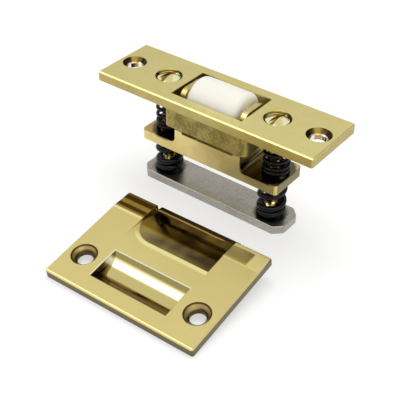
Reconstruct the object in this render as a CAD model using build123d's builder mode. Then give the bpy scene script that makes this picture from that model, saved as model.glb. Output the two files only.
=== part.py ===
from build123d import *
from math import cos, radians, sin, tan
import os

# Roller catch for the edge of a door, with the strike that its roller drops into.
# Millimetres. The origin is the middle of the face plate's back face, which seats on the door's edge.
# +X runs along the face plate, +Y to its far long edge, +Z out of the door towards the strike.

# Face plate: a brass casting with the roller's guide box under its window.
plate_length = 85.7
plate_width = 25.4
plate_thick = 3.4
plate_corner = 0.6
plate_bevel = 0.35
window_length = 28.4
window_width = 17.2
guide_length = 33.4
guide_width = 19.4
guide_depth = 9.1
guide_corner = 2.2
guide_foot = 0.25
fixing_spacing = 74.4
fixing_radius = 2.6
fixing_sink_radius = 4.2
sink_angle = 82

# Adjusting screws: round slotted heads that sit in counterbores, one each side of the window.
adjust_spacing = 44.0
shank_radius = 2.4
shank_tip_z = -36.5
shank_clearance = 0.08
head_radius = 4.0
head_rim = 1.0
head_dome = 1.8
slot_width = 1.2
slot_depth = 1.4
left_slot_turn = -26
right_slot_turn = -13
counterbore_radius = 4.6
counterbore_depth = 2.2

# Roller and its axle. The roller stands proud of the face plate.
roller_radius = 8.0
roller_half_length = 9.9
roller_round = 1.8
roller_hub_radius = 3.2
roller_hub_length = 0.9
roller_centre_x = 0.5
axle_z = -0.7
axle_radius = 1.6
axle_clearance = 0.05

# Carrier: a brass casting with a flange for the springs, a block between them and two ears.
carrier_length = 56.2
carrier_width = 15.4
carrier_corner = 1.4
flange_top_z = -16.4
flange_thick = 3.6
block_half_length = 13.5
block_top_z = -11.0
block_foot = 2.0
notch_half_length = 10.5
notch_depth = 0.8
ear_inner_x = 11.1
ear_outer_x = 13.0
ear_half_width = 6.0
ear_top_z = 3.8
ear_round = 3.0
ear_shoulder = 1.5
flange_hole_radius = 2.8

# Steel back plate that the adjusting screws thread into.
back_length = 60.0
back_width = 13.4
back_thick = 3.0
back_top_z = -33.8
back_chamfer = 3.0
back_corner = 1.5
back_edge = 0.35

# Springs: wire diameter, outside diameter and turns between the ground ends.
upper_wire = 1.3
upper_outside = 9.4
upper_turns = 6.6
lower_wire = 2.2
lower_outside = 10.2
lower_turns = 3.4
spring_end_gap = 0.02
right_upper_shift = 0.85

# Strike, lying in front of the catch. Its turned-down tongue holds the back edge off the surface.
strike_length = 57.4
strike_depth = 41.9
strike_thick = 3.2
strike_corner = 0.8
strike_edge_round = 0.7
strike_slope = 8.6
strike_turn = 1.2
strike_front_x = 11.6
strike_front_y = -67.7
strike_hole_half_spacing = 22.15
strike_hole_y = 11.5
strike_hole_radius = 2.6
strike_sink_radius = 4.3
pocket_length = 29.2
pocket_front_y = 5.9
pocket_back_y = 17.9
pocket_depth = 2.6
lip_start_y = 34.4
lip_drop = 0.6
ramp_start_y = 24.6
ramp_radius = 62.0
ramp_centre_x = -0.5
ramp_half_width = 15.9
ramp_corner = 0.8
ramp_reach = 22.0
tongue_half_width = 15.6
tongue_back_y = 44.45
tongue_wall = 3.0
tongue_bend = 2.2

floor_z = back_top_z - back_thick
carrier_bottom_z = flange_top_z - flange_thick
head_seat_z = plate_thick - counterbore_depth

os.makedirs("parts", exist_ok=True)


# Face plate, with the guide box, the window and four screw holes.
with BuildPart() as face_plate:
    with BuildSketch() as plate_outline:
        RectangleRounded(plate_length, plate_width, plate_corner)
    extrude(amount=plate_thick)
    chamfer(face_plate.edges().group_by(Axis.Z)[-1], plate_bevel)
    with BuildSketch() as guide_outline:
        RectangleRounded(guide_length, guide_width, guide_corner)
    extrude(amount=-guide_depth)
    foot_edges = face_plate.edges().filter_by_position(Axis.Z, -0.01, 0.01)
    foot_edges = foot_edges.filter_by(lambda edge: abs(edge.center().X) < guide_length / 2 + 0.1)
    fillet(foot_edges.filter_by(lambda edge: abs(edge.center().Y) < guide_width / 2 + 0.1), guide_foot)
    with BuildSketch(Plane.XY.offset(plate_thick)) as window_outline:
        Rectangle(window_length, window_width)
    extrude(amount=-(plate_thick + guide_depth), mode=Mode.SUBTRACT)
    with Locations(Plane.XY.offset(plate_thick)):
        with GridLocations(fixing_spacing, 1, 2, 1):
            CounterSinkHole(fixing_radius, fixing_sink_radius, counter_sink_angle=sink_angle)
        with GridLocations(adjust_spacing, 1, 2, 1):
            CounterBoreHole(shank_radius + shank_clearance, counterbore_radius, counterbore_depth)
face_plate.part.label = "face_plate"
export_step(face_plate.part, "parts/face_plate.step")


# Carrier: the flange, the block that steps up from it on round feet, and the roller's ears.
with BuildPart() as roller_carrier:
    with BuildSketch(Plane.XY.offset(carrier_bottom_z)) as flange_outline:
        RectangleRounded(carrier_length, carrier_width, carrier_corner)
    extrude(amount=flange_thick)
    with BuildSketch(Plane.XY.offset(flange_top_z)) as block_outline:
        Rectangle(2 * block_half_length, carrier_width)
    extrude(amount=block_top_z - flange_top_z)
    feet = roller_carrier.edges().filter_by(Axis.Y).filter_by_position(Axis.Z, flange_top_z, flange_top_z)
    fillet(feet.filter_by_position(Axis.X, -block_half_length, block_half_length), block_foot)
    with BuildSketch(Plane.XY.offset(block_top_z)) as notch_outline:
        Rectangle(2 * notch_half_length, carrier_width)
    extrude(amount=-notch_depth, mode=Mode.SUBTRACT)
    for ear_x in (roller_centre_x - ear_outer_x, roller_centre_x + ear_inner_x):
        with BuildSketch(Plane.YZ.offset(ear_x)) as ear_outline:
            with BuildLine() as ear_edge:
                Polyline(
                    (-carrier_width / 2, block_top_z - notch_depth),
                    (-carrier_width / 2, block_top_z),
                    (-ear_half_width - ear_shoulder, block_top_z),
                    (-ear_half_width, block_top_z + ear_shoulder),
                    (-ear_half_width, ear_top_z),
                    (ear_half_width, ear_top_z),
                    (ear_half_width, block_top_z + ear_shoulder),
                    (ear_half_width + ear_shoulder, block_top_z),
                    (carrier_width / 2, block_top_z),
                    (carrier_width / 2, block_top_z - notch_depth),
                    close=True,
                )
            make_face()
            fillet(ear_outline.vertices().group_by(Axis.Y)[-1], ear_round)
        extrude(amount=ear_outer_x - ear_inner_x)
    with Locations(Plane.YZ.offset(roller_centre_x - ear_outer_x)):
        with Locations((0, axle_z)):
            Hole(axle_radius)
    with Locations(Plane.XY.offset(flange_top_z)):
        with GridLocations(adjust_spacing, 1, 2, 1):
            Hole(flange_hole_radius)
roller_carrier.part.label = "roller_carrier"
export_step(roller_carrier.part, "parts/roller_carrier.step")


# Roller: turned nylon with large rounds at its ends and a short hub that keeps it off the ears.
with BuildPart() as roller:
    with BuildSketch(Plane((roller_centre_x, 0, 0), x_dir=(1, 0, 0), z_dir=(0, -1, 0))) as roller_profile:
        with BuildLine() as roller_edge:
            bore = axle_radius + axle_clearance
            hub_end = roller_half_length + roller_hub_length
            Polyline(
                (0, axle_z + bore),
                (hub_end, axle_z + bore),
                (hub_end, axle_z + roller_hub_radius),
                (roller_half_length, axle_z + roller_hub_radius),
                (roller_half_length, axle_z + roller_radius - roller_round),
            )
            RadiusArc(
                (roller_half_length, axle_z + roller_radius - roller_round),
                (roller_half_length - roller_round, axle_z + roller_radius),
                -roller_round,
            )
            Polyline(
                (roller_half_length - roller_round, axle_z + roller_radius),
                (0, axle_z + roller_radius),
                (0, axle_z + bore),
            )
        make_face()
        mirror(about=Plane.YZ)
    revolve(axis=Axis((0, 0, axle_z), (1, 0, 0)))
roller.part.label = "roller"
export_step(roller.part, "parts/roller.step")


# Axle, pressed into both ears and finished flush with them.
with BuildPart() as roller_axle:
    with BuildSketch(Plane.YZ.offset(roller_centre_x - ear_outer_x)) as axle_section:
        with Locations((0, axle_z)):
            Circle(axle_radius)
    extrude(amount=2 * ear_outer_x)
    chamfer(roller_axle.edges().filter_by(GeomType.CIRCLE), 0.2)
roller_axle.part.label = "roller_axle"
export_step(roller_axle.part, "parts/roller_axle.step")


# Back plate: flat steel with clipped corners and a threaded hole for each adjusting screw.
with BuildPart() as back_plate:
    with BuildSketch(Plane.XY.offset(floor_z)) as back_outline:
        Rectangle(back_length, back_width)
        chamfer(back_outline.vertices(), back_chamfer)
        fillet(back_outline.vertices(), back_corner)
    extrude(amount=back_thick)
    fillet(back_plate.faces().sort_by(Axis.Z)[-1].edges(), back_edge)
    with Locations(Plane.XY.offset(back_top_z)):
        with GridLocations(adjust_spacing, 1, 2, 1):
            Hole(shank_radius + shank_clearance)
back_plate.part.label = "back_plate"
export_step(back_plate.part, "parts/back_plate.step")


def adjusting_screw(centre_x, slot_turn, label):
    """A slotted round-head screw that hangs from its counterbore down to the back plate."""
    crown_z = head_seat_z + head_rim
    with BuildPart() as screw:
        with BuildSketch(Plane.XZ) as screw_profile:
            with BuildLine() as screw_edge:
                Polyline(
                    (0, crown_z + head_dome),
                    (0, shank_tip_z),
                    (shank_radius - 0.6, shank_tip_z),
                    (shank_radius, shank_tip_z + 0.6),
                    (shank_radius, head_seat_z),
                    (head_radius, head_seat_z),
                    (head_radius, crown_z),
                )
                dome_radius = (head_radius**2 + head_dome**2) / (2 * head_dome)
                RadiusArc((head_radius, crown_z), (0, crown_z + head_dome), -dome_radius)
            make_face()
        revolve(axis=Axis.Z)
        with BuildSketch(Plane.XY.offset(crown_z + head_dome)) as slot_outline:
            Rectangle(slot_width, 3 * head_radius, rotation=slot_turn)
        extrude(amount=-slot_depth, mode=Mode.SUBTRACT)
    placed = screw.part.moved(Location((centre_x, 0, 0)))
    placed.label = label
    export_step(placed, f"parts/{label}.step")


def coil_spring(centre_x, low_z, high_z, wire, outside, turns, label):
    """A round-wire compression spring, its end turns ground flat where it seats."""
    coil_radius = (outside - wire) / 2
    pitch = (high_z - low_z) / turns
    with BuildPart() as spring:
        with BuildLine(Plane.XY.offset(low_z)) as coil_path:
            Helix(pitch, high_z - low_z, coil_radius)
        with BuildSketch(Plane(origin=coil_path.line @ 0, z_dir=coil_path.line % 0)) as wire_section:
            Circle(wire / 2)
        sweep(path=coil_path.line, is_frenet=True)
        ground = Box(2 * outside, 2 * outside, high_z - low_z, mode=Mode.PRIVATE)
        add(ground.moved(Location((0, 0, (low_z + high_z) / 2))), mode=Mode.INTERSECT)
    placed = spring.part.moved(Location((centre_x, 0, 0)))
    placed.label = label
    export_step(placed, f"parts/{label}.step")


left_x = -adjust_spacing / 2
right_x = adjust_spacing / 2
for side, side_x, slot_turn, shift in (
    ("left", left_x, left_slot_turn, 0.0),
    ("right", right_x, right_slot_turn, right_upper_shift),
):
    adjusting_screw(side_x, slot_turn, f"{side}_adjusting_screw")
    coil_spring(
        side_x + shift,
        flange_top_z + spring_end_gap,
        -spring_end_gap,
        upper_wire,
        upper_outside,
        upper_turns,
        f"{side}_upper_spring",
    )
    coil_spring(
        side_x,
        back_top_z + spring_end_gap,
        carrier_bottom_z - spring_end_gap,
        lower_wire,
        lower_outside,
        lower_turns,
        f"{side}_lower_spring",
    )


# Strike: a plate with a round-bottomed pocket for the roller, and a ramp that leads up to it.
# It is drawn in its own frame, whose origin is the middle of its front top edge, and laid on the floor.
slope = radians(strike_slope)
turn = radians(strike_turn)
strike_frame = Plane(
    origin=(strike_front_x, strike_front_y, floor_z + strike_thick * cos(slope)),
    x_dir=(cos(turn), sin(turn), 0),
    z_dir=(sin(turn) * sin(slope), -cos(turn) * sin(slope), cos(slope)),
)
pocket_half = (pocket_back_y - pocket_front_y) / 2
pocket_radius = (pocket_half**2 + pocket_depth**2) / (2 * pocket_depth)
tongue_foot_z = -strike_thick - tongue_back_y * tan(slope) + 0.03
tongue_inner_y = tongue_back_y - tongue_wall
side_plane = Plane(origin=(0, 0, 0), x_dir=(0, 1, 0), z_dir=(1, 0, 0))
ramp_drop = ramp_radius - (ramp_radius**2 - ramp_reach**2) ** 0.5

# The block of air over the ramp: a round-backed slope between two upright sides.
with BuildPart() as ramp_air:
    with BuildSketch() as ramp_outline:
        with Locations((ramp_centre_x, ramp_start_y + ramp_reach / 2)):
            Rectangle(2 * ramp_half_width, ramp_reach)
        fillet(ramp_outline.vertices().group_by(Axis.Y)[0], ramp_corner)
    extrude(amount=ramp_drop, both=True)
    with BuildSketch(side_plane) as ramp_profile:
        with BuildLine() as ramp_edge:
            crest = (ramp_start_y, 0)
            ramp_end = (ramp_start_y + ramp_reach, -ramp_drop)
            RadiusArc(crest, ramp_end, ramp_radius)
            Polyline(ramp_end, (ramp_start_y + ramp_reach, 3), (ramp_start_y, 3), crest)
        make_face()
    extrude(amount=strike_length / 2, both=True, mode=Mode.INTERSECT)

with BuildPart() as strike_plate:
    with BuildSketch(side_plane) as strike_profile:
        Polygon(
            (0, 0),
            (lip_start_y, 0),
            (strike_depth, -lip_drop),
            (strike_depth, -strike_thick),
            (0, -strike_thick),
            align=None,
        )
    extrude(amount=strike_length / 2, both=True)
    fillet(strike_plate.edges().filter_by(Axis.Z), strike_corner)
    crease = strike_plate.edges().filter_by(Axis.X).filter_by_position(Axis.Y, lip_start_y, lip_start_y)
    top_faces = strike_plate.faces().filter_by(lambda face: face.normal_at().Z > 0.9)
    top_edges = top_faces.edges().filter_by(lambda edge: edge not in crease)
    fillet(top_edges, strike_edge_round)
    with BuildSketch(side_plane.offset(ramp_centre_x)) as tongue_profile:
        Polygon(
            (tongue_inner_y - 4, -lip_drop - 0.4),
            (tongue_back_y, -lip_drop - 0.4),
            (tongue_back_y, tongue_foot_z),
            (tongue_inner_y, tongue_foot_z + tongue_wall * tan(slope)),
            (tongue_inner_y, -strike_thick + 0.3),
            (tongue_inner_y - 4, -strike_thick + 0.3),
            align=None,
        )
    extrude(amount=tongue_half_width, both=True)
    add(ramp_air.part, mode=Mode.SUBTRACT)
    with BuildSketch(side_plane) as pocket_profile:
        with Locations(((pocket_front_y + pocket_back_y) / 2, pocket_radius - pocket_depth)):
            Circle(pocket_radius)
    extrude(amount=pocket_length / 2, both=True, mode=Mode.SUBTRACT)
    tongue_edges = strike_plate.edges().filter_by(Axis.X).filter_by_position(Axis.Y, tongue_back_y, tongue_back_y)
    fillet(tongue_edges.sort_by(Axis.Z)[-1], tongue_bend)
    with Locations((-strike_hole_half_spacing, strike_hole_y, 0), (strike_hole_half_spacing, strike_hole_y, 0)):
        CounterSinkHole(strike_hole_radius, strike_sink_radius, counter_sink_angle=sink_angle)
laid_strike = strike_plate.part.moved(strike_frame.location)
laid_strike.label = "strike_plate"
export_step(laid_strike, "parts/strike_plate.step")
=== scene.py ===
# %% [markdown]
# # A roller catch on a white table
# A roller catch holds a cupboard or passage door shut without a latch: a sprung nylon roller stands proud
# of the door's edge and drops into a pocket in the brass strike. The solids come from the CAD model and
# stay where they are. This lesson gives them their finishes, replaces the springs and screws with detailed
# ones, and sets up the picture. One unit is one metre, as in the CAD model, so MM turns millimetres into
# metres.

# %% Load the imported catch
import math
import bmesh
import bpy
from mathutils import Matrix, Vector


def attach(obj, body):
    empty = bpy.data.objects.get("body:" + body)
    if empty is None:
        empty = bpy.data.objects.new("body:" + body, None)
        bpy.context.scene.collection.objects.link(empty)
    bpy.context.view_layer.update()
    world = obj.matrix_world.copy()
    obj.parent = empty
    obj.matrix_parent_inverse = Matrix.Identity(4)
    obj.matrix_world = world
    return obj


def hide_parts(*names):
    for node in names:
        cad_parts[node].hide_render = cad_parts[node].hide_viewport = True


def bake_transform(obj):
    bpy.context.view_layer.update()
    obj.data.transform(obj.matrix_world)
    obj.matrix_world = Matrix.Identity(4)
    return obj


MM = 0.001
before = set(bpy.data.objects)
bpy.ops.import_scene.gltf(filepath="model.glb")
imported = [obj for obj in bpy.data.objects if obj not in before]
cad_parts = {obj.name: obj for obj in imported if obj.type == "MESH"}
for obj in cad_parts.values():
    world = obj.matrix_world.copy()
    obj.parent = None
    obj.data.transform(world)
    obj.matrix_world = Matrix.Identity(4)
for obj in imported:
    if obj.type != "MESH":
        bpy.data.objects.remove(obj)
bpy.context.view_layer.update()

# %% [markdown]
# ## The camera
# The photograph looks down at the catch from its front right. The camera could be placed by eye, but the
# face plate is a true rectangle of known size, so its four corners and four holes fix the viewpoint. The
# values that they gave are set here: a long lens of about 80 mm that looks down at 37 degrees and leans by
# less than one degree.

# %% Camera
camera_place = Vector((145.8, -204.5, 150.8)) * MM
camera_ahead = Vector((-0.4795, 0.6370, -0.6036)).normalized()
camera_lean = math.radians(0.80)

level_right = camera_ahead.cross(Vector((0, 0, 1))).normalized()
level_up = level_right.cross(camera_ahead)
camera_right = level_right * math.cos(camera_lean) + level_up * math.sin(camera_lean)
camera_up = level_up * math.cos(camera_lean) - level_right * math.sin(camera_lean)

camera_data = bpy.data.cameras.new("photo_camera")
camera_data.lens = 79.7
camera_data.sensor_width = 36.0
camera_data.clip_start = 0.01
camera = bpy.data.objects.new("photo_camera", camera_data)
bpy.context.collection.objects.link(camera)
for row in range(3):
    camera.matrix_world[row] = (camera_right[row], camera_up[row], -camera_ahead[row], camera_place[row])
bpy.context.scene.camera = camera
print("camera", [round(value, 4) for value in camera.matrix_world.translation])

# %% [markdown]
# ## Writing a finish as arithmetic
# A finish is a network of nodes, and most of it is sums: a mask times a shade, one minus another mask.
# Boxes and wires would hide those sums. The first class below wraps one output socket, and Python's
# operators on it add the Math nodes, so that a sum in this file reads as a sum. Colours can't go through
# Math nodes, which turn them grey, so they are mixed with Mix nodes. A Network is one node tree, with one
# method for all other nodes, and a Finish is a Network that ends in a material's shader.

# %% Socket arithmetic
class Flow:
    """One output socket; arithmetic on it adds Math nodes to its tree."""

    def __init__(self, tree, socket):
        self.tree = tree
        self.socket = socket

    def sum_node(self, operation, *values):
        node = self.tree.nodes.new("ShaderNodeMath")
        node.operation = operation
        for slot, value in zip(node.inputs, values):
            if isinstance(value, Flow):
                self.tree.links.new(value.socket, slot)
            else:
                slot.default_value = value
        return Flow(self.tree, node.outputs[0])

    def __add__(self, other):
        return self.sum_node("ADD", self, other)

    def __radd__(self, other):
        return self.sum_node("ADD", other, self)

    def __sub__(self, other):
        return self.sum_node("SUBTRACT", self, other)

    def __rsub__(self, other):
        return self.sum_node("SUBTRACT", other, self)

    def __mul__(self, other):
        return self.sum_node("MULTIPLY", self, other)

    def __rmul__(self, other):
        return self.sum_node("MULTIPLY", other, self)

    def largest(self, other):
        return self.sum_node("MAXIMUM", self, other)

    def smallest(self, other):
        return self.sum_node("MINIMUM", self, other)

    def size(self):
        return self.sum_node("ABSOLUTE", self)

    def root(self):
        return self.sum_node("SQRT", self)

    def clamp(self):
        return self.largest(0.0).smallest(1.0)


# %% A network of nodes
class Network:
    """A node tree that adds each node by its type, its settings and its sockets."""

    def __init__(self, tree):
        self.tree = tree

    def node(self, kind, settings=None, sockets=None, output=0):
        made = self.tree.nodes.new(kind)
        for key, value in (settings or {}).items():
            setattr(made, key, value)
        for key, value in (sockets or {}).items():
            if isinstance(value, Flow):
                self.tree.links.new(value.socket, made.inputs[key])
            else:
                made.inputs[key].default_value = value
        return Flow(self.tree, made.outputs[output])

    def axis(self, vector, name):
        """One number of a vector: its X, Y or Z."""
        return self.node("ShaderNodeSeparateXYZ", None, {0: vector}, output=name)

    def ray(self, kind):
        """1 for rays of one kind, such as Camera, and 0 for all others."""
        return self.node("ShaderNodeLightPath", output=f"Is {kind} Ray")

    def step(self, value, low, high):
        """0 below low, 1 above high, and a smooth rise between them."""
        settings = {"interpolation_type": "SMOOTHSTEP"}
        sockets = {"Value": value, "From Min": low, "From Max": high}
        return self.node("ShaderNodeMapRange", settings, sockets)

    def fall(self, value, low, high):
        """1 below low, 0 above high: a step turned over."""
        return 1 - self.step(value, low, high)

    def blend(self, mask, shade_a, shade_b):
        """Colour a where the mask is 0, colour b where it is 1."""
        sockets = {0: mask}
        for index, shade in ((6, shade_a), (7, shade_b)):
            sockets[index] = shade if isinstance(shade, Flow) else (*shade, 1)
        return self.node("ShaderNodeMix", {"data_type": "RGBA"}, sockets, output=2)


# %% A network that ends in a material's shader
class Finish(Network):
    """A material whose shader sockets are set by name."""

    def __init__(self, name):
        self.material = bpy.data.materials.new(name)
        self.material.use_nodes = True
        super().__init__(self.material.node_tree)
        self.shader = self.tree.nodes["Principled BSDF"]

    def place(self):
        """Where each point is on the object at rest, in metres."""
        return self.node("ShaderNodeTexCoord", output="Object")

    def along_mm(self, name):
        """How far each point lies along the X, Y or Z axis, in millimetres."""
        return self.axis(self.place(), name) * (1 / MM)

    def from_axis_mm(self, half_spacing):
        """How far each point lies from the nearer of two upright axes on the X axis."""
        aside = self.along_mm("X").size() - half_spacing
        ahead = self.along_mm("Y")
        return (aside * aside + ahead * ahead).root()

    def beside_axis_mm(self, half_spacing):
        """The X and Y offsets of each point from the nearer of the same two axes."""
        across = self.along_mm("X")
        side = self.step(across, -0.5, 0.5) * 2 - 1
        return (across.size() - half_spacing) * side, self.along_mm("Y")

    def noise(self, per_metre, detail=2.0, roughness=0.5):
        """A cloudy value with so many blots to the metre, or so many along X, Y and Z."""
        where = self.place()
        scale = per_metre
        if isinstance(per_metre, tuple):
            where = self.node("ShaderNodeVectorMath", {"operation": "MULTIPLY"}, {0: where, 1: per_metre})
            scale = 1.0
        sockets = {"Vector": where, "Scale": scale, "Detail": detail, "Roughness": roughness}
        return self.node("ShaderNodeTexNoise", None, sockets, output="Fac")

    def bump(self, height, depth, strength):
        sockets = {"Height": height, "Distance": depth, "Strength": strength}
        return self.node("ShaderNodeBump", None, sockets, output="Normal")

    def set(self, **sockets):
        for key, value in sockets.items():
            slot = self.shader.inputs[key.replace("_", " ")]
            if isinstance(value, Flow):
                self.tree.links.new(value.socket, slot)
            else:
                slot.default_value = (*value, 1) if key == "Base_Color" else value
        return self.material


# %% [markdown]
# ## The holes in the face plate
# The polished walls of the countersinks and counterbores mirror each other, and a small picture of them shows
# dark sides and a bright middle. Mirrors alone would need the studio's own lamps, so these tones are painted
# on: painted dark reflections on two opposite sides of each cone and each counterbore, and painted highlights
# on the same sides of the short wall under each cone. The direction from one such side to the other is fixed
# on the plate, so the painted shade stays in place when the view changes. Here and below, each border is a
# pair of millimetres: where a change begins and where it is complete.

# %% Painted reflections and shade in the holes
hole_x_mm = 37.2
sink_edge_mm = (4.15, 4.3)
cone_foot_mm = (1.82, 2.05)
cone_shade_mm = (1.6, 3.0)
wall_highlight_mm = (0.7, 1.3)
screw_x_mm = 22.0
bore_edge_mm = (4.62, 4.7)
bore_shade_mm = (3.0, 3.9)
shade_way = (0.80, 0.60)

# Painted reflections: dark olive in the cone's middle and near black on its sides, tan on the short wall's
# middle with painted highlights on its sides, and painted dark shade on the bores' sides.
cone_middle = (0.16, 0.12, 0.028)
cone_side_shade = (0.045, 0.022, 0.006)
wall_middle = (0.40, 0.29, 0.12)
wall_side_highlight = (0.80, 0.78, 0.66)
bore_middle = (0.92, 0.82, 0.42)
bore_side_shade = (0.030, 0.020, 0.008)


def toward_sides(finish, half_spacing):
    """How far each point lies from a hole's middle, counted along the direction of the painted shade and
    highlights.
    """
    x_mm, y_mm = finish.beside_axis_mm(half_spacing)
    return (x_mm * shade_way[0] + y_mm * shade_way[1]).size()


def countersink(finish, height, stain, cast):
    """The mask and colour of the two fixing holes: a cone over a short wall, with painted reflections."""
    sink = finish.fall(finish.from_axis_mm(hole_x_mm), *sink_edge_mm) * (1 - cast)
    sideways = toward_sides(finish, hole_x_mm)
    cone = finish.blend(finish.step(sideways + stain * 1.2, *cone_shade_mm), cone_middle, cone_side_shade)
    wall = finish.blend(finish.step(sideways, *wall_highlight_mm), wall_middle, wall_side_highlight)
    return sink, finish.blend(sink * finish.step(height, *cone_foot_mm), wall, cone)


def counterbore(finish, cast):
    """The mask and colour of the two bores round the screws' heads, painted dark as shade on two sides."""
    bore = finish.fall(finish.from_axis_mm(screw_x_mm), *bore_edge_mm) * (1 - cast)
    at_sides = finish.step(toward_sides(finish, screw_x_mm), *bore_shade_mm)
    return bore, finish.blend(at_sides, bore_middle, bore_side_shade)


# The painted shade in the holes lies along this direction.
print("the film lies", round(math.degrees(math.atan2(shade_way[1], shade_way[0]))), "degrees from X")

# %% [markdown]
# ## Satin brass over a cast skin
# The face plate's flats were linished on a fine belt and lacquered, while the guide box under it keeps the
# pebbled skin of the mould, whose brown is painted darker as the shade under the plate. Two materials could
# meet at the box's foot, but the casting is one piece, so one material tells the two apart by height. Satin
# brass isn't one yellow: a deeper and a paler tone drift over a few centimetres, small blots lean to green or
# to pink, and there are dull specks. The plate's side faces are painted darker as shade. The belt's lines are
# a noise that is stretched along the plate, and they change the roughness more than the colour.

# %% Satin brass
plate_side_mm = (2.85, 3.10)
cast_skin_mm = (-0.5, -0.1)
plate_deep = (0.81, 0.70, 0.265)
plate_pale = (0.95, 0.83, 0.35)
green_tint = (0.66, 0.70, 0.26)
pink_tint = (1.0, 0.76, 0.40)
speck_brown = (0.26, 0.21, 0.08)
side_shade_dark = (0.36, 0.29, 0.10)
side_shade_pale = (0.56, 0.46, 0.18)
skin_and_shade_dark = (0.215, 0.17, 0.048)
skin_and_shade_pale = (0.44, 0.36, 0.125)


def satin_brass():
    finish = Finish("satin_brass")
    height = finish.along_mm("Z")
    lines = finish.noise((60, 2400, 2400), detail=3.0, roughness=0.6)
    drift = finish.noise(38.0)
    skin = finish.noise(1300.0, detail=3.0, roughness=0.65)
    stain = finish.noise(170.0, detail=3.0, roughness=0.6)
    specks = finish.step(finish.noise(900.0), 0.68, 0.80)

    yellow = finish.blend((drift * 0.6 + lines * 0.3 + 0.2).clamp(), plate_deep, plate_pale)
    blots = finish.step(finish.noise(260.0, roughness=0.6), 0.38, 0.64)
    greenish = finish.blend(0.14, yellow, green_tint)
    pinkish = finish.blend(0.14, yellow, pink_tint)
    flats = finish.blend(specks * 0.35, finish.blend(blots, greenish, pinkish), speck_brown)
    # Painted shade: the plate's side faces are darker than its flats.
    sides = finish.blend(stain, side_shade_dark, side_shade_pale)
    belted = finish.blend(finish.fall(height, *plate_side_mm), flats, sides)

    # The guide box's pebbled cast skin, painted darker as the shade under the plate.
    cast = finish.fall(height, *cast_skin_mm)
    pebbles = finish.step(stain * 0.5 + skin * 0.5, 0.36, 0.64)
    colour = finish.blend(cast, belted, finish.blend(pebbles, skin_and_shade_dark, skin_and_shade_pale))
    sink, sink_shade = countersink(finish, height, stain, cast)
    colour = finish.blend(sink, colour, sink_shade)
    bore, bore_shade = counterbore(finish, cast)
    colour = finish.blend(bore, colour, bore_shade)

    belt_rough = (0.34 + (lines - 0.5) * 0.14 + specks * 0.15) * (1 - sink) + sink * 0.10
    roughness = belt_rough * (1 - cast) + (0.42 + skin * 0.16) * cast
    grain = finish.bump(lines * (1 - cast) * 0.3 + skin * cast, 0.035 * MM, 0.6)
    return finish.set(Base_Color=colour, Metallic=1.0, Roughness=roughness, Normal=grain)


plate_finish = satin_brass()
print("satin brass has", len(plate_finish.node_tree.nodes), "nodes")

# %% [markdown]
# ## Cast brass
# The carrier came from a mould and was only tumbled, so it has a soft pebbled skin in place of belt lines: a
# noise of fine blots for the skin and one of large blots for the stains. The sawn ends of its flange are
# painted darker as shade. Round the springs' feet the flange is painted dark as the springs' shadow and dark
# reflection, wider on the right, where the block's shadow falls, and a little way up the block. A ring could
# be drawn there, but the shade's edge wanders, so the distance from its middle, a little inward of the screw,
# has some of the stains added before it is cut off.

# %% Cast brass
flange_top_mm = -16.4
flange_end_mm = (27.95, 28.05)
shade_film_x_mm = 19.6
shade_film_edge_mm = (8.4, 9.6)
shade_film_foot_mm = (-0.9, -0.3)
shade_film_top_mm = (0.8, 3.4)
carrier_deep = (0.66, 0.53, 0.205)
carrier_pale = (0.82, 0.67, 0.30)
end_face_shade = (0.24, 0.20, 0.095)
brass_spring_shade = (0.065, 0.05, 0.025)


def cast_brass():
    finish = Finish("cast_brass")
    skin = finish.noise(1500.0, detail=3.0, roughness=0.6)
    stain = finish.noise(90.0, detail=3.0, roughness=0.6)
    across = finish.along_mm("X")
    above_flange = finish.along_mm("Z") - flange_top_mm

    # Painted shadow and dark reflection of the springs round their feet, wider on the right where the block's
    # shadow falls.
    wider_right = finish.step(across, -1.0, 1.0) * 1.4
    shade_film = finish.fall(finish.from_axis_mm(shade_film_x_mm) + stain * 2.0 - wider_right, *shade_film_edge_mm)
    shade_film = shade_film * finish.step(above_flange, *shade_film_foot_mm) * finish.fall(above_flange, *shade_film_top_mm)

    bare = finish.blend(finish.step(stain, 0.35, 0.7), carrier_deep, carrier_pale)
    # Painted shade on the flange's end faces.
    bare = finish.blend(finish.step(across.size(), *flange_end_mm), bare, end_face_shade)
    colour = finish.blend(shade_film * 0.9, bare, brass_spring_shade)
    roughness = (0.32 + skin * 0.16) * (1 - shade_film * 0.5)
    pebbles = finish.bump(skin * (1 - shade_film * 0.6), 0.03 * MM, 0.5)
    return finish.set(Base_Color=colour, Metallic=1.0, Roughness=roughness, Normal=pebbles)


carrier_finish = cast_brass()
print("cast brass has", len(carrier_finish.node_tree.nodes), "nodes")

# %% [markdown]
# ## Two finishes on one strike
# The strike's flats are satin, but the scoop, the lips beside it and the roller's pocket are buffed to a
# mirror. Two separate surfaces could carry the two finishes, but the strike is one casting, so one material
# reads the place on the strike and turns its roughness down there. The strike lies on a slope, so the place
# is counted along the strike's own edges: three dot products with its own axes, from the middle of its
# front.

# %% The strike's own axes
floor_z = -36.8 * MM
strike_thick = 3.2 * MM
strike_slope = math.radians(8.6)
strike_turn = math.radians(1.2)
strike_front = Vector((11.6 * MM, -67.7 * MM, floor_z + strike_thick * math.cos(strike_slope)))
strike_across = Vector((math.cos(strike_turn), math.sin(strike_turn), 0))
strike_out = Vector((
    math.sin(strike_turn) * math.sin(strike_slope),
    -math.cos(strike_turn) * math.sin(strike_slope),
    math.cos(strike_slope),
))
strike_back = strike_out.cross(strike_across)


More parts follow.
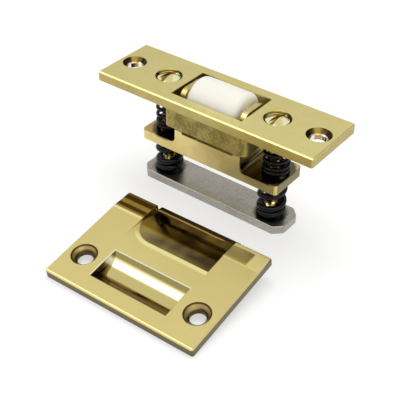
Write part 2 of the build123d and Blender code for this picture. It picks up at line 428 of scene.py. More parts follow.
class StrikeFinish(Finish):
    """A finish that knows each point's millimetres across, back and out of the strike's face."""

    def __init__(self, name):
        super().__init__(name)
        settings = {"operation": "SUBTRACT"}
        self.offset = self.node("ShaderNodeVectorMath", settings, {0: self.place(), 1: strike_front})
        self.x_mm = self.dot_mm(strike_across)
        self.y_mm = self.dot_mm(strike_back)
        self.out_mm = self.dot_mm(strike_out)

    def dot_mm(self, way):
        settings = {"operation": "DOT_PRODUCT"}
        sockets = {0: self.offset, 1: way}
        return self.node("ShaderNodeVectorMath", settings, sockets, output="Value") * (1 / MM)

    def band(self, low, high, soft=0.4):
        """A stripe across the strike with soft edges."""
        risen = self.step(self.y_mm, low - soft, low + soft)
        return risen * self.fall(self.y_mm, high - soft, high + soft)


print("the strike's face points to", [round(value, 3) for value in strike_out])

# %% [markdown]
# ## The strike's scoop and lips
# A mirror shows its surroundings, and those of the photograph aren't known. So each buffed zone also has
# painted reflections: lighter and darker brass where the photograph shows such tones, on top of what it
# reflects. A picture could be painted on, but a zone of this kind is sharp at any size. Each one is a
# function that returns its mask and its colour. The scoop is a hollow with one rounded corner, painted as a
# dark reflection with a soft painted glow at its left and front, a painted highlight along its crest, where
# it bends down, and painted shadow beyond the bend. A long lip lies left of it and a short one right of it,
# both with painted reflection streaks, and a painted highlight runs along the polished rim before both.

# %% The scoop
corner_middle_mm = (-8.0, 36.0)
corner_squeeze = 1.15
scoop_edge_mm = (9.5, 9.9)
scoop_end_mm = (15.3, 15.6)
crest_start_mm = (41.4, 41.8)
crest_stop_mm = (41.9, 42.3)
crest_end_mm = (9.5, 12.0)
bent_down_mm = (42.2, 42.5)
left_glow_mm = (-13.0, -4.0)
left_glow_middle_mm = 33.0
left_glow_half_mm = (1.0, 6.0)
front_glow_mm = (7.0, 9.4)
front_glow_end_mm = (9.0, 15.0)
scoop_dark_reflection = (0.066, 0.045, 0.020)
scoop_glow = (0.36, 0.28, 0.10)
crest_highlight = (0.62, 0.44, 0.27)
bent_shadow = (0.020, 0.014, 0.008)


def scoop_reach(finish):
    """How far each point lies outside the rounded corner's middle, and a mask of all before the right end."""
    past_left = (corner_middle_mm[0] - finish.x_mm).largest(0.0) * corner_squeeze
    past_front = (corner_middle_mm[1] - finish.y_mm).largest(0.0)
    reach = (past_left * past_left + past_front * past_front).root()
    return reach, finish.fall(finish.x_mm, *scoop_end_mm)


def scoop_zone(finish):
    reach, before_end = scoop_reach(finish)
    cloud = finish.noise((95, 60, 60))
    from_glow = (finish.y_mm - left_glow_middle_mm).size()
    left_glow = finish.fall(finish.x_mm, *left_glow_mm) * finish.fall(from_glow, *left_glow_half_mm)
    weaker_right = finish.step(finish.x_mm, *front_glow_end_mm) * 0.6
    front_glow = finish.step(reach, *front_glow_mm) * 0.34 * (1 - weaker_right)
    glow = (finish.step(cloud, 0.42, 0.75) * 0.5 + left_glow * 0.75 + front_glow).clamp()
    # Painted reflection: dark brass in the hollow, with painted glows at its left and front.
    shade = finish.blend(glow, scoop_dark_reflection, scoop_glow)

    # A painted highlight along the crest, and painted shadow beyond the bend.
    bend = finish.y_mm + cloud * 1.2
    crest = finish.step(bend, *crest_start_mm) * finish.fall(bend, *crest_stop_mm)
    shade = finish.blend(crest * finish.fall(finish.x_mm, *crest_end_mm), shade, crest_highlight)
    shade = finish.blend(finish.step(bend, *bent_down_mm), shade, bent_shadow)
    return finish.fall(reach, *scoop_edge_mm) * before_end, shade


print("the scoop's corner has a radius of about", scoop_edge_mm[0], "mm")

# %% The lips beside the scoop
lip_front_mm = (33.9, 34.4)
left_lip_mm = (-16.6, -16.3)
right_lip_mm = (15.2, 15.5)
right_lip_end_mm = (23.2, 23.9)
right_lip_back_mm = (39.9, 40.5)
front_streak_mm = (34.2, 34.9)
wide_streak_mm = (36.7, 38.6)
back_streak_mm = (40.8, 41.4)
right_bar_mm = (38.7, 39.2)
right_bar_x_mm = 18.5
right_bar_half_mm = (1.2, 1.6)
lip_dark_reflection = (0.105, 0.062, 0.018)
lip_reflection_streak = (0.66, 0.52, 0.22)
right_lip_yellow = (0.88, 0.79, 0.32)
right_lip_highlight = (1.0, 0.97, 0.74)


def lip_masks(finish):
    """Both lips together, the right one alone, and the flat corner behind the right one."""
    behind = finish.step(finish.y_mm, *lip_front_mm)
    right_side = finish.step(finish.x_mm, *right_lip_mm)
    right_patch = right_side * finish.fall(finish.x_mm, *right_lip_end_mm)
    right_patch = right_patch * finish.fall(finish.y_mm, *right_lip_back_mm)
    lips = behind * finish.fall(finish.x_mm, *left_lip_mm).largest(right_patch)
    return lips, right_patch * lips, behind * right_side * (1 - lips)


def lip_shade(finish):
    """Three painted reflection streaks along the left lip, and one short painted highlight on the right lip.
    """
    streaks = finish.band(*wide_streak_mm) * 0.85 + finish.band(*back_streak_mm) * 0.6
    streaks = streaks + finish.band(*front_streak_mm) * 0.5
    left = finish.blend(streaks.clamp(), lip_dark_reflection, lip_reflection_streak)
    from_bar = (finish.x_mm - right_bar_x_mm).size()
    bar = finish.band(*right_bar_mm) * finish.fall(from_bar, *right_bar_half_mm)
    right = finish.blend(bar, right_lip_yellow, right_lip_highlight)
    return finish.blend(finish.step(finish.x_mm, *right_lip_mm), left, right)


print("the lips start", lip_front_mm[0], "mm behind the strike's front edge")

# %% The rim before the scoop and the left lip
rim_outer_mm = (10.8, 11.6)
rim_back_mm = (26.6, 29.0)
lip_rim_mm = (32.9, 33.4)
rim_highlight = (1.0, 0.92, 0.40)


def rim_zone(finish, lips):
    # A painted highlight along the rim before the scoop and the left lip.
    reach, before_end = scoop_reach(finish)
    rim = finish.step(reach, *scoop_edge_mm) * finish.fall(reach, *rim_outer_mm)
    rim = rim * finish.fall(finish.y_mm, *rim_back_mm) * before_end
    lip_rim = finish.step(finish.y_mm, *lip_rim_mm) * (1 - lips) * finish.fall(finish.x_mm, *left_lip_mm)
    return rim.largest(lip_rim), rim_highlight


print("the rim is", round(rim_outer_mm[0] - scoop_edge_mm[0], 1), "mm wide")

# %% [markdown]
# ## The roller's pocket and the strike's holes
# The pocket's round bottom mirrors a soft lamp as one pale bar. Behind the bar the brass looks olive, before
# it yellow and at the front brown, and the left end is nearly black. These tones are painted reflections and
# painted shade, laid as stripes along the pocket, as its real reflections are. A thin painted highlight lies
# along its upper edges at the back and at the left. Each screw hole has a throat painted brown as shade,
# darker on its outer side, and a paler ring of cone.

# %% The pocket
pocket_front_mm = (5.6, 6.0)
pocket_back_mm = (17.9, 18.2)
pocket_end_mm = (14.70, 14.85)
brown_back_mm = (8.9, 9.9)
bar_front_mm = (13.2, 14.2)
bar_back_mm = (15.7, 16.3)
dark_end_mm = (-14.4, -14.1)
dark_end_back_mm = (11.0, 15.5)
pocket_yellow = (0.70, 0.60, 0.24)
pocket_highlight_bar = (0.52, 0.51, 0.41)
pocket_olive = (0.40, 0.335, 0.13)
pocket_brown = (0.30, 0.18, 0.05)
pocket_end_shade = (0.035, 0.022, 0.008)


def pocket_zone(finish):
    pocket = finish.step(finish.y_mm, *pocket_front_mm) * finish.fall(finish.y_mm, *pocket_back_mm)
    pocket = pocket * finish.fall(finish.x_mm.size(), *pocket_end_mm)
    # Painted reflections: stripes along the pocket round a painted highlight bar, and painted shade at the
    # left end.
    shade = finish.blend(finish.step(finish.y_mm, *bar_front_mm), pocket_yellow, pocket_highlight_bar)
    shade = finish.blend(finish.step(finish.y_mm, *bar_back_mm), shade, pocket_olive)
    shade = finish.blend(finish.fall(finish.y_mm, *brown_back_mm), shade, pocket_brown)
    dark_end = finish.fall(finish.x_mm, *dark_end_mm) * finish.fall(finish.y_mm, *dark_end_back_mm)
    return pocket, finish.blend(dark_end, shade, pocket_end_shade)


print("the pocket's zone is", 2 * pocket_end_mm[0], "mm long")

# %% The pocket's lit edges
edge_front_mm = (5.8, 6.2)
edge_back_mm = (18.35, 18.5)
edge_left_mm = (-15.3, -15.15)
edge_right_mm = (14.85, 15.0)
lit_back_mm = (17.7, 18.0)
lit_left_mm = (-14.9, -14.8)
edge_highlight = (1.0, 0.98, 0.72)


def pocket_edge_zone(finish, pocket):
    # A thin painted highlight along the pocket's upper edges, at the back and at the left.
    edge = finish.step(finish.y_mm, *edge_front_mm) * finish.fall(finish.y_mm, *edge_back_mm) * (1 - pocket)
    edge = edge * finish.step(finish.x_mm, *edge_left_mm) * finish.fall(finish.x_mm, *edge_right_mm)
    lit = finish.step(finish.y_mm, *lit_back_mm).largest(finish.fall(finish.x_mm, *lit_left_mm))
    return edge * lit, edge_highlight


print("the lit edge ends", edge_back_mm[1], "mm behind the strike's front edge")

# %% The strike's screw holes
strike_hole_mm = (22.15, 11.5)
hole_edge_mm = (4.35, 4.5)
ring_inner_mm = (2.7, 3.2)
ring_outer_mm = (3.8, 4.1)
throat_mm = (2.9, 3.5)
dark_side_mm = (15.8, 17.4)
dark_side_lean = 0.3
throat_shade = (0.085, 0.055, 0.018)
hole_cone = (0.46, 0.345, 0.13)


def strike_hole_zone(finish):
    aside = finish.x_mm.size() - strike_hole_mm[0]
    ahead = finish.y_mm - strike_hole_mm[1]
    from_hole = (aside * aside + ahead * ahead).root()
    ring = finish.step(from_hole, *ring_inner_mm) * finish.fall(from_hole, *ring_outer_mm)
    # Painted shade in each throat, darkest on its outer side, inside a paler ring of cone.
    dark_side = finish.step(finish.x_mm.size() - finish.y_mm * dark_side_lean, *dark_side_mm)
    dark_side = dark_side * finish.fall(from_hole, *throat_mm)
    shade = finish.blend(ring * (1 - dark_side), throat_shade, hole_cone)
    return finish.fall(from_hole, *hole_edge_mm), shade


print("the strike's holes are", 2 * strike_hole_mm[0], "mm apart")

# %% Strike brass
strike_side_mm = (-0.75, -0.45)
strike_deep = (0.70, 0.585, 0.225)
strike_pale = (0.86, 0.73, 0.31)
strike_side_shade_dark = (0.12, 0.098, 0.050)
strike_side_shade_pale = (0.19, 0.158, 0.082)


def strike_brass():
    finish = StrikeFinish("strike_brass")
    lines = finish.noise((2200, 60, 2200), detail=3.0, roughness=0.6)
    drift = finish.noise(34.0)
    scoop, scoop_shade = scoop_zone(finish)
    lips, right_lip, corner = lip_masks(finish)
    pocket, pocket_shade = pocket_zone(finish)
    hole, hole_shade = strike_hole_zone(finish)
    # Painted shade: the strike's side faces are much darker than its flats.
    sides = finish.fall(finish.out_mm, *strike_side_mm) * (1 - scoop) * (1 - pocket) * (1 - hole)

    colour = finish.blend((drift * 0.7 + lines * 0.3).clamp(), strike_deep, strike_pale)
    zones = (
        (pocket, pocket_shade),
        pocket_edge_zone(finish, pocket),
        rim_zone(finish, lips),
        (scoop, scoop_shade),
        (lips, lip_shade(finish)),
        (sides, finish.blend(drift, strike_side_shade_dark, strike_side_shade_pale)),
        (hole, hole_shade),
    )
    for mask, shade in zones:
        colour = finish.blend(mask, colour, shade)

    mirror = lips.largest(scoop).largest(pocket)
    roughness = (0.34 + (lines - 0.5) * 0.12) * (1 - mirror) + mirror * (0.07 + drift * 0.05)
    metal = 1 - corner * 0.75 - right_lip * 0.2
    grain = finish.bump(lines * (1 - mirror), 0.010 * MM, 0.6)
    return finish.set(Base_Color=colour, Metallic=metal, Roughness=roughness, Normal=grain)


strike_finish = strike_brass()
print("strike brass has", len(strike_finish.node_tree.nodes), "nodes")

# %% [markdown]
# ## Nylon, spring steel and bare steel
# The roller is turned ivory nylon: light enters it a little, and the lathe leaves rings round it. The springs
# are oil-blackened wire with faint drawn lines and a glossy skin. The back plate is bare steel, tumbled to a
# pale grey with faint scratches, and round the springs' feet it is painted dark as their shadow and
# reflection. The axle is brighter steel without that painted shade, and one function makes both. Plain
# colours would do from afar, but a real highlight is never quite even, so each of them has a little bump from
# a noise.

# %% Ivory nylon
nylon_ivory = (0.94, 0.92, 0.80)
nylon_white = (0.97, 0.95, 0.86)
light_reach = (0.002, 0.0018, 0.0012)


def ivory_nylon():
    finish = Finish("ivory_nylon")
    rings = finish.noise((5200, 30, 30))
    colour = finish.blend(finish.noise(140.0), nylon_ivory, nylon_white)
    finish.set(Subsurface_Weight=0.12, Subsurface_Radius=light_reach, Subsurface_Scale=1.0)
    finish.set(Specular_IOR_Level=0.45)
    ridges = finish.bump(rings, 0.01 * MM, 0.5)
    return finish.set(Base_Color=colour, Roughness=0.38 + rings * 0.12, Normal=ridges)


roller_finish = ivory_nylon()
print("the roller's nylon has", len(roller_finish.node_tree.nodes), "nodes")

# %% Blackened spring wire
wire_black = (0.001, 0.001, 0.002)
wire_blue = (0.005, 0.006, 0.008)


def black_wire():
    finish = Finish("black_wire")
    drawn = finish.noise((700, 700, 2600), detail=3.0)
    colour = finish.blend(finish.step(drawn, 0.4, 0.75), wire_black, wire_blue)
    finish.set(Specular_IOR_Level=0.20)
    skin = finish.bump(drawn, 0.015 * MM, 0.4)
    return finish.set(Base_Color=colour, Metallic=0.0, Roughness=0.10 + drawn * 0.12, Normal=skin)


wire_finish = black_wire()
print("the springs' wire has", len(wire_finish.node_tree.nodes), "nodes")

# %% Bare steel
steel_shade_film_mm = (5.6, 7.2)
steel_spring_shade = (0.045, 0.042, 0.038)
tumbled_pale = (0.50, 0.47, 0.415)
tumbled_dark = (0.33, 0.31, 0.27)
ground_pale = (0.70, 0.70, 0.70)
ground_dark = (0.55, 0.55, 0.56)


def bare_steel(name, pale, dark, rough, spring_shaded):
    finish = Finish(name)
    skin = finish.noise(2200.0, detail=3.0, roughness=0.65)
    scratch = finish.noise((220, 2600, 900), detail=3.0, roughness=0.6)
    cloud = finish.noise(60.0)
    colour = finish.blend(finish.step(cloud * 0.3 + skin * 0.7, 0.34, 0.66), dark, pale)
    if spring_shaded:
        # Painted shadow and dark reflection of the springs round their feet.
        shade_film = finish.fall(finish.from_axis_mm(screw_x_mm) + skin * 1.2, *steel_shade_film_mm)
        colour = finish.blend(shade_film * 0.85, colour, steel_spring_shade)
    tooth = finish.bump(skin * 0.6 + scratch * 0.4, 0.02 * MM, 0.5)
    return finish.set(Base_Color=colour, Metallic=1.0, Roughness=rough + scratch * 0.15, Normal=tooth)


back_finish = bare_steel("tumbled_steel", tumbled_pale, tumbled_dark, rough=0.24, spring_shaded=True)
axle_finish = bare_steel("ground_steel", ground_pale, ground_dark, rough=0.22, spring_shaded=False)
print("steels:", back_finish.name, axle_finish.name)

# %% [markdown]
# ## Turned brass
# The screws are turned from bar, so fine rings run round them. Their heads carry painted highlights at the
# two sides, and the slot is painted brown as shade. The slot could have a material of its own, but the head
# is one mesh, so the colour is found from the distance to each slot's middle line: a dot product with the
# direction across it, which differs between the two screws. Under the face plate the shanks are blotched
# darker.

# %% Turned brass for the screws
slot_turns = {"left": math.radians(-26), "right": math.radians(-13)}
head_top_mm = (2.5, 2.7)
head_sides_mm = (0.7, 2.0)
slot_side_mm = (0.59, 0.63)
under_plate_mm = (-0.5, 0.2)
turned_deep = (0.84, 0.74, 0.38)
turned_pale = (0.93, 0.85, 0.50)
head_tint = (0.80, 0.64, 0.22)
head_highlight = (1.0, 0.95, 0.60)
slot_shade = (0.30, 0.19, 0.04)
shank_dark_blotch = (0.06, 0.042, 0.016)


def from_slot_line(finish):
    """How far each point lies from the middle line of its own screw's slot."""
    x_mm, y_mm = finish.beside_axis_mm(screw_x_mm)
    on_right = finish.step(finish.along_mm("X"), -1.0, 1.0)
    left_way, right_way = ((math.cos(turn), math.sin(turn), 0) for turn in slot_turns.values())
    across_slot = finish.blend(on_right, left_way, right_way)
    return (x_mm * finish.axis(across_slot, "X") + y_mm * finish.axis(across_slot, "Y")).size()


def turned_brass():
    finish = Finish("turned_brass")
    rings = finish.noise((400, 400, 4200))
    bare = finish.blend(finish.noise(160.0), turned_deep, turned_pale)
    height = finish.along_mm("Z")
    on_head = finish.step(height, *head_top_mm)
    # Painted highlights at the head's two sides.
    bright = finish.step(toward_sides(finish, screw_x_mm), *head_sides_mm) * on_head
    colour = finish.blend(bright, finish.blend(0.5, bare, head_tint), head_highlight)
    # The slot is painted brown as shade.
    colour = finish.blend(finish.fall(from_slot_line(finish), *slot_side_mm) * on_head, colour, slot_shade)
    blotches = finish.fall(finish.noise(420.0, roughness=0.6), 0.56, 0.66)
    colour = finish.blend(finish.fall(height, *under_plate_mm) * blotches * 0.95, colour, shank_dark_blotch)
    cut = finish.bump(rings, 0.01 * MM, 0.5)
    return finish.set(Base_Color=colour, Metallic=1.0, Roughness=0.10 + rings * 0.10, Normal=cut)


screw_finish = turned_brass()
print("turned brass has", len(screw_finish.node_tree.nodes), "nodes")

# %% Dress the CAD solids
finishes = {
    "face_plate": plate_finish,
    "roller_carrier": carrier_finish,
    "roller": roller_finish,
    "roller_axle": axle_finish,
    "back_plate": back_finish,
    "strike_plate": strike_finish,
}
for node, finish in finishes.items():
    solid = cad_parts[node]
    solid.data.materials.clear()
    solid.data.materials.append(finish)
    print(node, "wears", finish.name)

# %% [markdown]
# ## Springs
# Each spring is round wire wound on a mandrel. Its end turns are closed up, about one wire's width apart,
# and the wire is ground flat there so that the spring stands square. A screw modifier could wind it, but
# with the same rise all the way. Here the wire's centre line is a list of heights, which rise slowly in the
# closed turns and fast in the open ones, with the change between them smoothed, and a ring of points is
# swept along it. The ground faces are made by holding every point between the levels of the two seats. The
# right one of the upper springs stands a little further out than its screw, as in the photograph.

# %% The wire's centre line
steps_per_turn = 32
ground_share = 0.34
closed_pitch = 1.03
smooth_reach = 4


def spring_line(low, high, wire, closed_below, open_turns, closed_above):
    """Heights of the wire's centre, from one closed end through the open turns to the other closed end."""
    bottom = low + wire * ground_share
    top = high - wire * ground_share
    closed_rise = wire * closed_pitch
    open_rise = (top - bottom - closed_rise * (closed_below + closed_above)) / open_turns
    total = closed_below + open_turns + closed_above
    line = []
    for index in range(round(total * steps_per_turn) + 1):
        turn = index / steps_per_turn
        if turn < closed_below:
            height = bottom + closed_rise * turn
        elif turn > total - closed_above:
            height = top - closed_rise * (total - turn)
        else:
            height = bottom + closed_rise * closed_below + open_rise * (turn - closed_below)
        line.append(height)
    smooth = list(line)
    for index in range(smooth_reach, len(line) - smooth_reach):
        near = line[index - smooth_reach:index + smooth_reach + 1]
        smooth[index] = sum(near) / len(near)
    return smooth


print("a closed turn rises", closed_pitch, "times the wire's width")

# %% Meshes and rings
def ring_way(step, steps):
    """The cosine and sine of one of so many even steps round a circle."""
    angle = 2 * math.pi * step / steps
    return math.cos(angle), math.sin(angle)


def finished_object(name, build, material):
    """Turns a bmesh into a linked object that wears one material."""
    bmesh.ops.recalc_face_normals(build, faces=build.faces)
    mesh = bpy.data.meshes.new(name)
    build.to_mesh(mesh)
    build.free()
    mesh.materials.append(material)
    made = bpy.data.objects.new(name, mesh)
    bpy.context.collection.objects.link(made)
    return made


print("an eighth of a turn points to", [round(value, 3) for value in ring_way(1, 8)])

# %% Wind a wire
wire_sides = 16


def wound_wire(name, x, radius, wire, heights, start_turn, seats):
    """A wire swept round an upright axis at x, along heights that are one step of a turn apart."""
    build = bmesh.new()
    rings = []
    for index, height in enumerate(heights):
        angle = 2 * math.pi * (start_turn + index / steps_per_turn)
        outward = Vector((math.cos(angle), math.sin(angle), 0))
        middle = Vector((x, 0, height)) + outward * radius
        ring = []
        for side in range(wire_sides):
            out, up = ring_way(side, wire_sides)
            point = middle + outward * (wire / 2 * out) + Vector((0, 0, wire / 2 * up))
            point.z = min(max(point.z, seats[0]), seats[1])
            ring.append(build.verts.new(point))
        rings.append(ring)
    for before, after in zip(rings, rings[1:]):
        for side in range(wire_sides):
            other = (side + 1) % wire_sides
            build.faces.new((before[side], after[side], after[other], before[other]))
    build.faces.new(rings[0])
    build.faces.new(reversed(rings[-1]))
    made = finished_object(name, build, wire_finish)
    made.data.shade_smooth()
    return made


# %% Upper springs
screw_x = screw_x_mm * MM
plate_back_z = 0.0
flange_top_z = flange_top_mm * MM
flange_under_z = -20.0 * MM
back_top_z = -33.8 * MM
upper_wire = 1.3 * MM
upper_radius = 4.05 * MM
right_upper_shift = 0.85 * MM
upper_start = 0.1
upper_turns = {"closed_below": 1.6, "open_turns": 4.6, "closed_above": 0.8}

for side, x in (("left", -screw_x), ("right", screw_x + right_upper_shift)):
    line = spring_line(flange_top_z, plate_back_z, upper_wire, **upper_turns)
    seats = (flange_top_z, plate_back_z)
    spring = wound_wire(f"{side}_upper_coil", x, upper_radius, upper_wire, line, upper_start, seats)
    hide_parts(f"{side}_upper_spring")
    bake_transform(spring)
    print(spring.name, len(spring.data.polygons), "faces,", round(len(line) / steps_per_turn, 1), "turns")

# %% [markdown]
# ## Lower springs
# A lower spring is squeezed from above when the roller is pushed in and from below when the adjusting screws
# draw the back plate up. One piece could follow the carrier alone, but then it would leave the back plate. So
# the wire is cut in two on the side away from the camera: a foot next to the back plate, and the rest up to
# the carrier. The two pieces share the ring of points where they meet.

# %% Lower springs in two lengths
lower_wire = 2.2 * MM
lower_radius = 4.0 * MM
lower_turns = {"closed_below": 1.4, "open_turns": 1.5, "closed_above": 0.6}
foot_turns = 1.75
cut = round(foot_turns * steps_per_turn)

for side, x, start_turn in (("left", -screw_x, 0.35), ("right", screw_x, 0.42)):
    line = spring_line(back_top_z, flange_under_z, lower_wire, **lower_turns)
    seats = (back_top_z, flange_under_z)
    meet_z = line[cut]
    foot = wound_wire(f"{side}_lower_coil_foot", x, lower_radius, lower_wire, line[:cut + 1],
                      start_turn, seats)
    body = wound_wire(f"{side}_lower_coil", x, lower_radius, lower_wire, line[cut:],
                      start_turn + cut / steps_per_turn, seats)
    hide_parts(f"{side}_lower_spring")
    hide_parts(f"{side}_lower_spring")
    meet_z + 0.3 * MM
    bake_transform(foot)
    meet_z - 0.3 * MM
    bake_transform(body)
    print(side, "wire is cut", round(meet_z / MM, 2), "mm high")

# %% [markdown]
# ## Adjusting screws
# Each screw is turned brass with a slotted head that sits in its counterbore and a fine thread of 32 turns
# to the inch down to the back plate. The thread could be bump only, but its edge shows between the coils,
# so it is real: rows of points, crest and root by turns, go round the shank and rise one pitch in each
# turn. The shank's top is open and ends half a millimetre below the head, inside the face plate's hole,
# where nothing shows. A screw that was seen there would need its shank to run on into the head.

# %% Cut a thread
pitch = 25.4 / 32 * MM
seat_z = 1.2 * MM
tip_z = -36.5 * MM
shank_radius = 2.4 * MM
tip_radius = 1.2 * MM
tip_bevel = 0.8 * MM
thread_depth = 0.40 * MM
shank_top_z = seat_z - 0.5 * MM
thread_steps = 24
weld_reach = 0.002 * MM
sliver_length = 0.001 * MM


def thread_point(row, step):
    """Radius and height of one point: crests and roots half a pitch apart, a bevelled tip and a plain top."""
    z = tip_z + (row / 2 + step / thread_steps - 1.0) * pitch
    radius = shank_radius if row % 2 == 0 else shank_radius - thread_depth
    radius = max(radius - max(0.0, tip_z + tip_bevel - z), tip_radius)
    z = min(max(z, tip_z), shank_top_z)
    if z >= shank_top_z - pitch:
        radius = shank_radius - thread_depth * 0.5
    return radius, z


def threaded_shank(x):
    """A row rises one pitch in its turn, so its end is joined to the start of the row two above it."""
    turns = (shank_top_z - tip_z) / pitch
    build = bmesh.new()
    rows = []
    for row in range(int(turns * 2) + 3):
        ring = []
        for step in range(thread_steps):
            radius, z = thread_point(row, step)
            along, ahead = ring_way(step, thread_steps)
            ring.append(build.verts.new((x + radius * along, radius * ahead, z)))
        rows.append(ring)
    last = thread_steps - 1
    for index, (row, above) in enumerate(zip(rows, rows[1:])):
        for step in range(last):
            build.faces.new((row[step], row[step + 1], above[step + 1], above[step]))
        if index + 3 < len(rows):
            build.faces.new((row[last], rows[index + 2][0], rows[index + 3][0], above[last]))
    tip = build.verts.new((x, 0, tip_z))
    for step in range(last):
        build.faces.new((tip, rows[0][step + 1], rows[0][step]))
    bmesh.ops.remove_doubles(build, verts=build.verts, dist=weld_reach)
    bmesh.ops.dissolve_degenerate(build, edges=build.edges, dist=sliver_length)
    bmesh.ops.recalc_face_normals(build, faces=build.faces)
    return build


print("the thread rises", round(pitch / MM, 3), "mm a turn")

# %% Turn a head
head_radius = 4.0 * MM
head_rim = 1.7 * MM
head_dome = 1.1 * MM
foot_bevel = (0.15 * MM, 0.12 * MM)
rim_bevel = (0.08 * MM, 0.1 * MM)
rim_z = seat_z + head_rim
crown_z = rim_z + head_dome
head_steps = 48
dome_steps = 12


def lathe(build, x, outline):
    """Turns an outline of (radius, z) points, which starts and ends on the axis, round the screw's axis."""
    rings = []
    for radius, z in outline:
        if radius == 0.0:
            rings.append([build.verts.new((x, 0, z))])
            continue
        ways = (ring_way(step, head_steps) for step in range(head_steps))
        rings.append([build.verts.new((x + radius * along, radius * ahead, z)) for along, ahead in ways])
    for before, after in zip(rings, rings[1:]):
        for step in range(head_steps):
            other = (step + 1) % head_steps
            corners = [before[step % len(before)], before[other % len(before)],
                       after[other % len(after)], after[step % len(after)]]
            without_repeats = list(dict.fromkeys(corners))
            build.faces.new(without_repeats)


def head_outline():
    """Flat underside, straight rim with small bevels, and a low dome up to the crown."""
    outline = [
        (0.0, seat_z),
        (head_radius - foot_bevel[0], seat_z),
        (head_radius, seat_z + foot_bevel[1]),
        (head_radius, rim_z - rim_bevel[1]),
    ]
    for step in range(dome_steps + 1):
        radius = (head_radius - rim_bevel[0]) * (1 - step / dome_steps)
        outline.append((radius, rim_z + head_dome * (1 - (radius / head_radius) ** 2)))
    return outline


print("head:", round(2 * head_radius / MM, 1), "mm across, crown", round(crown_z / MM, 1), "mm high")

# %% [markdown]
# ## The slot
# A slot could be drawn as a dark line, but its walls show in the enlarged picture, so it is sawn: a long
# box that stands on the slot's floor is taken away from the screw with a Boolean modifier, and the
# modifier's result is kept as the screw's mesh. Its flat faces then get sharp edges, while the thread stays
# smooth.

# %% Saw the slot
slot_width = 1.2 * MM
slot_depth = 1.1 * MM
saw_height = 4 * MM
saw_length = 12 * MM
sharp_from = math.radians(32)


def slot_saw(x, slot_turn):
    """A box over the slot, turned about the screw's own axis."""
    build = bmesh.new()
    bmesh.ops.create_cube(build, size=1.0)
    bmesh.ops.scale(build, vec=(slot_width, saw_length, saw_height), verts=build.verts)
    bmesh.ops.rotate(build, matrix=Matrix.Rotation(slot_turn, 3, "Z"), verts=build.verts)
    bmesh.ops.translate(build, vec=(x, 0, crown_z - slot_depth + saw_height / 2), verts=build.verts)
    return finished_object("slot_saw", build, screw_finish)


def slotted_screw(name, x, slot_turn):
    """One screw in two shells: a shank that is open at its top, and above it a closed head with a slot."""
    build = threaded_shank(x)
    lathe(build, x, head_outline())
    screw = finished_object(name, build, screw_finish)
    saw = slot_saw(x, slot_turn)
    sawn = screw.modifiers.new("slot", "BOOLEAN")
    sawn.operation = "DIFFERENCE"
    sawn.solver = "EXACT"
    sawn.use_self = True
    sawn.object = saw
    ready = bpy.data.meshes.new_from_object(screw.evaluated_get(bpy.context.evaluated_depsgraph_get()))
    screw.modifiers.clear()
    screw.data = ready
    bpy.data.objects.remove(saw)
    ready.validate()
    ready.shade_smooth()
    ready.set_sharp_from_angle(angle=sharp_from)
    return screw


print("the slot is", round(slot_width / MM, 1), "mm wide and", round(slot_depth / MM, 1), "mm deep")

# %% Two adjusting screws
for side, x in (("left", -screw_x), ("right", screw_x)):
    screw = slotted_screw(f"{side}_slotted_screw", x, slot_turns[side])
    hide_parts(f"{side}_adjusting_screw")
    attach(screw, f"{side}_screw")
    box = [round(value / MM, 2) for corner in (screw.bound_box[0], screw.bound_box[6]) for value in corner]
    print(screw.name, len(screw.data.polygons), "faces, box", box)

# %% [markdown]
# ## The scene's light
# The catch was photographed on white in soft light. The world is white to the camera and dimmer as a light,
# so that a shade renders about as it is written. Polished brass shows what stands round it: a pale room
# with a bright soft box high before it and a low dark wall behind it, which give its hollows their light
# and deep tones. Boards could stand there, as in a studio, but each would have to be hidden from the camera
# and from the shadows. The world knows the kind and the direction of each ray, so its strength draws them
# instead, for reflections only.

# %% World
world = bpy.data.worlds.new("white_room")
bpy.context.scene.world = world
world.use_nodes = True
background = world.node_tree.nodes["Background"]
room = Network(world.node_tree)
direction = room.node("ShaderNodeTexCoord", output="Generated")
back = room.axis(direction, "Y")
up = room.axis(direction, "Z")

room_level = 0.80
diffuse_level = 0.58
wall_dark = 0.85
wall_foot = (0.44, 0.56)
wall_top = (0.18, 0.56)
box_level = 1.7
box_front = (-0.70, -0.56)
box_back = (-0.14, 0.02)
box_low = (0.50, 0.62)
wall = room.step(back, *wall_foot) * room.fall(up, *wall_top)
soft_box = room.step(back, *box_front) * room.fall(back, *box_back) * room.step(up, *box_low)
studio = (room_level + soft_box * box_level) * (1 - wall * wall_dark)

seen = room.ray("Camera").largest(room.ray("Transmission"))
glossy = room.ray("Glossy")
level = seen + glossy * (1 - seen) * studio + (1 - seen) * (1 - glossy) * diffuse_level
world.node_tree.links.new(level.socket, background.inputs["Strength"])
background.inputs["Color"].default_value = (1, 1, 1, 1)
print("the world has", len(world.node_tree.nodes), "nodes")

# %% [markdown]
# ## The table
# The table is one large sheet of white paper just under the catch. Plain white paper would come out grey,
# because the light is kept low for the brass. More light would clip the roller, so the paper glows a little
# instead, but only for the camera, mirrors and glass, and it keeps the shadows. The glow grows with
# distance, where the paper gets less of the lamps.

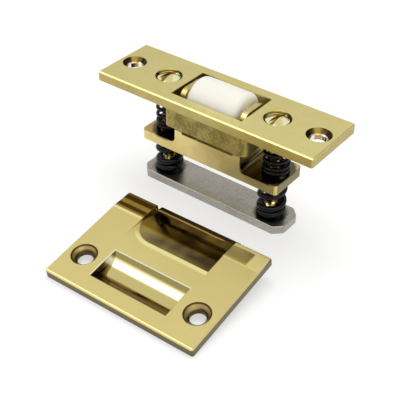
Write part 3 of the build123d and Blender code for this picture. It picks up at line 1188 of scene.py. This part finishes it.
# %% Floor
floor_half = 1.5
floor_mesh = bpy.data.meshes.new("floor")
build = bmesh.new()
for x, y in ((-1, -1), (1, -1), (1, 1), (-1, 1)):
    build.verts.new((x * floor_half, y * floor_half, floor_z - 0.02 * MM))
build.faces.new(build.verts)
build.to_mesh(floor_mesh)
build.free()
floor = bpy.data.objects.new("floor", floor_mesh)
bpy.context.collection.objects.link(floor)

print("the floor is", round(floor_z / MM, 1), "mm high")

# %% White paper
paper_grey = (0.56, 0.56, 0.56)
no_glow = (0, 0, 0)
near_glow = (0.52, 0.52, 0.52)
far_glow = (0.74, 0.74, 0.74)
glow_reach = (0.16, 0.55)

paper = Finish("white_paper")
away = paper.node("ShaderNodeVectorMath", {"operation": "LENGTH"}, {0: paper.place()}, output="Value")
glow = paper.blend(paper.step(away, *glow_reach), near_glow, far_glow)
shown = paper.ray("Camera").largest(paper.ray("Glossy")).largest(paper.ray("Transmission"))
glow = paper.blend(shown, no_glow, glow)
paper.set(Base_Color=paper_grey, Roughness=0.9, Emission_Color=glow, Emission_Strength=1.0)
floor_mesh.materials.append(paper.material)
print("the paper has", len(paper.tree.nodes), "nodes")

# %% [markdown]
# ## Two soft lamps
# The world alone would light the catch evenly from all sides. Two large lamps, one overhead and one at the
# front, give its faces slightly different tones and the table its soft shadow. They are hidden from
# mirrors, where their hard outlines would show as streaks.

# %% Lamps
def soft_lamp(name, place, aim, width, depth, power):
    data = bpy.data.lights.new(name, "AREA")
    data.shape = "RECTANGLE"
    data.size = width
    data.size_y = depth
    data.energy = power
    lamp = bpy.data.objects.new(name, data)
    bpy.context.collection.objects.link(lamp)
    lamp.location = place
    lamp.rotation_euler = (Vector(aim) - Vector(place)).to_track_quat("-Z", "Y").to_euler()
    lamp.visible_glossy = False
    print(name, "shines at", power, "W")


soft_lamp("overhead_lamp", (-0.10, 0.15, 0.75), (0, -0.02, 0), width=0.6, depth=0.6, power=2.8)
soft_lamp("front_lamp", (0.35, -0.65, 0.40), (0, -0.03, -0.02), width=0.5, depth=0.4, power=0.8)

# %% [markdown]
# ## The view transform
# The last cell sets the view transform to Standard.

# %% View transform
bpy.context.scene.view_settings.view_transform = "Standard"
